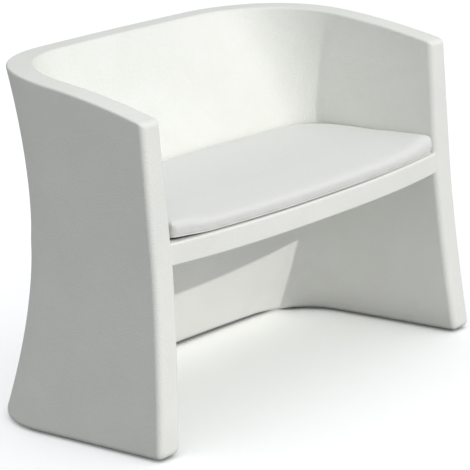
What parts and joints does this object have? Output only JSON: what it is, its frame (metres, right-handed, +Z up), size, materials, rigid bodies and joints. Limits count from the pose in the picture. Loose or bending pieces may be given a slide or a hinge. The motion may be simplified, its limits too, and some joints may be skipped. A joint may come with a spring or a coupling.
{
  "type": "garden bench",
  "caption": "Two-seat outdoor bench: one hollow white moulding with a wrap-round back and arms, open leg space below a bowed seat deck, and a loose zipped seat pad.",
  "frame": {"origin": "on the floor, at the middle of the bench's width and depth", "axes": "+Z up, front of the seat towards -Y, +X to the sitter's left"},
  "size_m": [1.0624, 0.558, 0.72],
  "materials": {
    "shell_plastic": "matte white polyethylene with a fine moulded grain",
    "glide_plastic": "grey nylon",
    "plug_plastic": "pale grey polyethylene",
    "insert_brass": "turned brass",
    "screw_steel": "stainless steel",
    "strip_fabric": "hook-and-loop tape",
    "foam": "open-cell quick-drying foam",
    "pad_fabric": "off-white woven outdoor fabric",
    "base_mesh": "grey open mesh",
    "zip_plastic": "pale nylon zip",
    "zip_metal": "plated metal"
  },
  "bodies": {
    "bench": {"bench_shell": "shell_plastic", "threaded_inserts": "insert_brass", "glide_screws": "screw_steel", "glide_front_right": "glide_plastic", "glide_corner_right": "glide_plastic", "glide_back_right": "glide_plastic", "glide_back_left": "glide_plastic", "glide_corner_left": "glide_plastic", "glide_front_left": "glide_plastic", "vent_plug": "plug_plastic", "hook_strip_right": "strip_fabric", "hook_strip_left": "strip_fabric"},
    "pad": {"pad_foam_core": "foam", "pad_cover": "pad_fabric", "pad_base_panel": "base_mesh", "loop_strip_right": "strip_fabric", "loop_strip_left": "strip_fabric", "zip_tape": "zip_plastic", "zip_coil": "zip_plastic", "zip_end_stops": "zip_metal"},
    "slider": {"zip_slider": "zip_metal"},
    "pull": {"zip_pull": "zip_metal"}
  },
  "joints": [
    {"name": "pad_lift", "type": "slide", "parent": "bench", "child": "pad", "axis": [0, 0, 1], "range_m": [0, 0.32]},
    {"name": "zip_run", "type": "hinge", "parent": "pad", "child": "slider", "pos_m": [0, -5.48, 0.4374], "axis": [0, 0, 1], "range_deg": [-4.06, 0]},
    {"name": "pull_swing", "type": "hinge", "parent": "slider", "child": "pull", "pos_m": [-0.19809, 0.10669, 0.4389], "axis": [0.9994, 0.0354, 0], "range_deg": [0, 18]}
  ]
}
